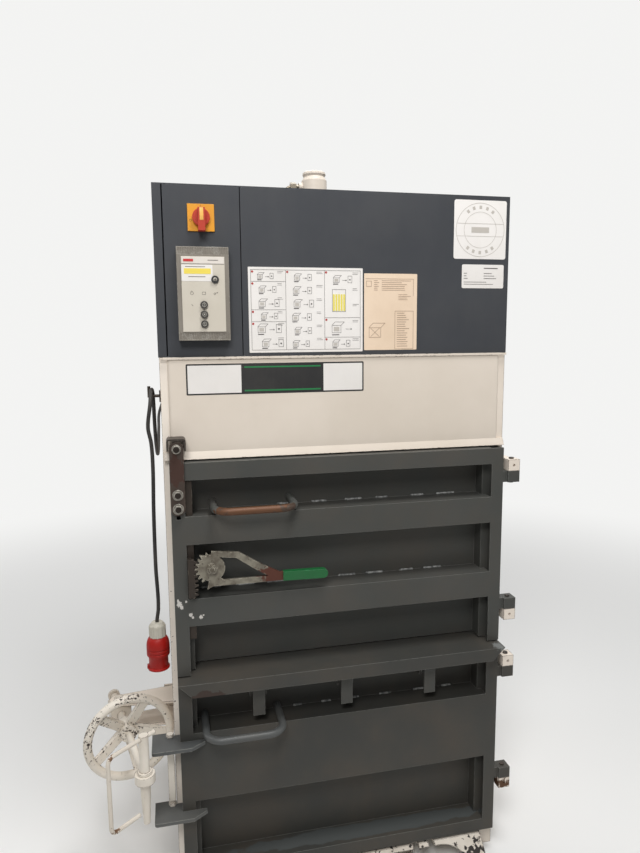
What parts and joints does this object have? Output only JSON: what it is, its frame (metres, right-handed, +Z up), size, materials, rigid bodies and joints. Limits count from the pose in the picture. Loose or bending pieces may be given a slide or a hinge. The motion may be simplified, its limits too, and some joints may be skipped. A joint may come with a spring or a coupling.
{
  "type": "vertical recycling baler",
  "caption": "Upright cardboard press: hooded hydraulic cylinder over a ribbed steel chamber with a lever-latched filling door and a handwheel-locked bale door.",
  "frame": {"origin": "on the floor under the middle of the body", "axes": "+X to the right of somebody facing the doors, +Y from the doors to the back, +Z up"},
  "size_m": [1.2526, 0.9525, 2.112],
  "materials": {
    "hood": "satin anthracite paint",
    "body": "worn off-white paint",
    "door": "chipped dark grey paint",
    "steel": "bare steel",
    "dark_steel": "oiled dark steel",
    "rust": "worn red-brown paint",
    "chrome": "hard-chromed rod",
    "grip_green": "green plastic",
    "panel": "light keypad foil",
    "black_plastic": "black plastic",
    "box_grey": "dark control housing",
    "yellow": "yellow plate",
    "red": "red plastic",
    "green": "green plastic",
    "white_plastic": "light grey plastic",
    "cord": "black cable sheath",
    "tank": "painted tank",
    "motor": "painted motor",
    "valve": "machined block",
    "hose": "hydraulic hose",
    "pad": "slide plastic"
  },
  "bodies": {
    "frame": {"side_wall_left": "body", "side_wall_right": "body", "back_wall": "body", "base_floor": "body", "top_beam": "body", "front_band": "body", "keeper": "door", "hood_shell": "hood", "control_cover": "hood", "front_cover": "hood", "deck_plate": "hood", "control_box": "box_grey", "control_panel": "panel", "switch_plate": "yellow", "switch_box": "box_grey", "oil_tank": "tank", "motor": "motor", "valve_block": "valve", "press_cylinder": "body", "pressure_pipe": "rust", "return_hose": "hose", "hinge_lugs": "body", "hinge_pins": "dark_steel", "lock_bracket": "body", "cable_gland": "black_plastic", "cable_hook": "dark_steel", "mains_cable": "cord", "plug_nut": "white_plastic", "plug_body": "red"},
    "upper_door_body": {"upper_door": "door", "upper_handle": "rust", "lever_stud": "steel"},
    "latch_slide": {"slide_bar": "door", "rack": "dark_steel", "latch_bar": "rust", "latch_bolts": "steel"},
    "lever_body": {"lever": "steel", "lever_grip": "grip_green"},
    "lower_door_body": {"lower_door": "door", "lower_handle": "steel", "lock_plates": "door", "lock_bar": "body", "claw_pins": "dark_steel"},
    "claw_left_body": {"claw_left": "door"},
    "claw_middle_body": {"claw_middle": "door"},
    "claw_right_body": {"claw_right": "door"},
    "press": {"piston_rod": "chrome", "press_plate": "dark_steel", "guide_pads": "pad"},
    "lock_arm": {"trunnion": "steel"},
    "lock_slide": {"spindle_eye": "body"},
    "lock_pin": {"locking_pin": "body", "bow_handle": "body"},
    "wheel": {"handwheel": "body", "spindle": "dark_steel"},
    "main_knob_body": {"main_knob": "red"},
    "key_body": {"key_switch": "black_plastic"},
    "button_up_body": {"button_up": "green"},
    "button_stop_body": {"button_stop": "red"},
    "button_down_body": {"button_down": "black_plastic"}
  },
  "joints": [
    {"name": "upper_door_hinge", "type": "hinge", "parent": "frame", "child": "upper_door_body", "pos_m": [0.5, -0.38, 1], "axis": [0, 0, 1], "range_deg": [0, 170]},
    {"name": "latch_lever_turn", "type": "hinge", "parent": "upper_door_body", "child": "lever_body", "pos_m": [-0.371, -0.402, 1.005], "axis": [0, -1, 0], "range_deg": [0, 34]},
    {"name": "latch_slide_travel", "type": "slide", "parent": "upper_door_body", "child": "latch_slide", "axis": [0, 0, 1], "range_m": [-0.0238, 0]},
    {"name": "bale_door_hinge", "type": "hinge", "parent": "frame", "child": "lower_door_body", "pos_m": [0.5, -0.38, 0.4], "axis": [0, 0, 1], "range_deg": [0, 170]},
    {"name": "press_travel", "type": "slide", "parent": "frame", "child": "press", "axis": [0, 0, -1], "range_m": [0, 0.575]},
    {"name": "lock_arm_swing", "type": "hinge", "parent": "frame", "child": "lock_arm", "pos_m": [-0.648, -0.125, 0.476], "axis": [0, 0, -1], "range_deg": [-6, 60]},
    {"name": "handwheel_turn", "type": "hinge", "parent": "lock_arm", "child": "wheel", "pos_m": [-0.6107, -0.27029, 0.476], "axis": [-0.2487, 0.9686, 0], "range_deg": [-360, 720]},
    {"name": "lock_slide_travel", "type": "slide", "parent": "lock_arm", "child": "lock_slide", "axis": [-0.2487, 0.9686, 0], "range_m": [-0.005, 0.01]},
    {"name": "locking_pin_swivel", "type": "hinge", "parent": "lock_slide", "child": "lock_pin", "pos_m": [-0.56195, -0.46013, 0.476], "axis": [0, 0, 1], "range_deg": [-40, 40]},
    {"name": "main_knob_turn", "type": "hinge", "parent": "frame", "child": "main_knob_body", "pos_m": [-0.368, -0.37, 1.908], "axis": [0, 1, 0], "range_deg": [0, 90]},
    {"name": "key_switch_turn", "type": "hinge", "parent": "frame", "child": "key_body", "pos_m": [-0.339, -0.37, 1.753], "axis": [0, 1, 0], "range_deg": [0, 60]},
    {"name": "claw_left_tilt", "type": "hinge", "parent": "lower_door_body", "child": "claw_left_body", "pos_m": [-0.252, -0.36, 0.625], "axis": [-1, 0, 0], "range_deg": [0, 30]},
    {"name": "claw_middle_tilt", "type": "hinge", "parent": "lower_door_body", "child": "claw_middle_body", "pos_m": [0, -0.36, 0.625], "axis": [-1, 0, 0], "range_deg": [0, 30]},
    {"name": "claw_right_tilt", "type": "hinge", "parent": "lower_door_body", "child": "claw_right_body", "pos_m": [0.252, -0.36, 0.625], "axis": [-1, 0, 0], "range_deg": [0, 30]},
    {"name": "button_up_press", "type": "slide", "parent": "frame", "child": "button_up_body", "axis": [0, 1, 0], "range_m": [0, 0.003], "stiffness_N_per_m": 800, "springref_m": -0.001},
    {"name": "button_stop_press", "type": "slide", "parent": "frame", "child": "button_stop_body", "axis": [0, 1, 0], "range_m": [0, 0.003], "stiffness_N_per_m": 800, "springref_m": -0.001},
    {"name": "button_down_press", "type": "slide", "parent": "frame", "child": "button_down_body", "axis": [0, 1, 0], "range_m": [0, 0.003], "stiffness_N_per_m": 800, "springref_m": -0.001}
  ],
  "couplings": [
    {"joint": "latch_slide_travel", "follows": "latch_lever_turn", "m_per_rad": -0.04},
    {"joint": "lock_slide_travel", "follows": "handwheel_turn", "m_per_rad": 0.000796}
  ]
}
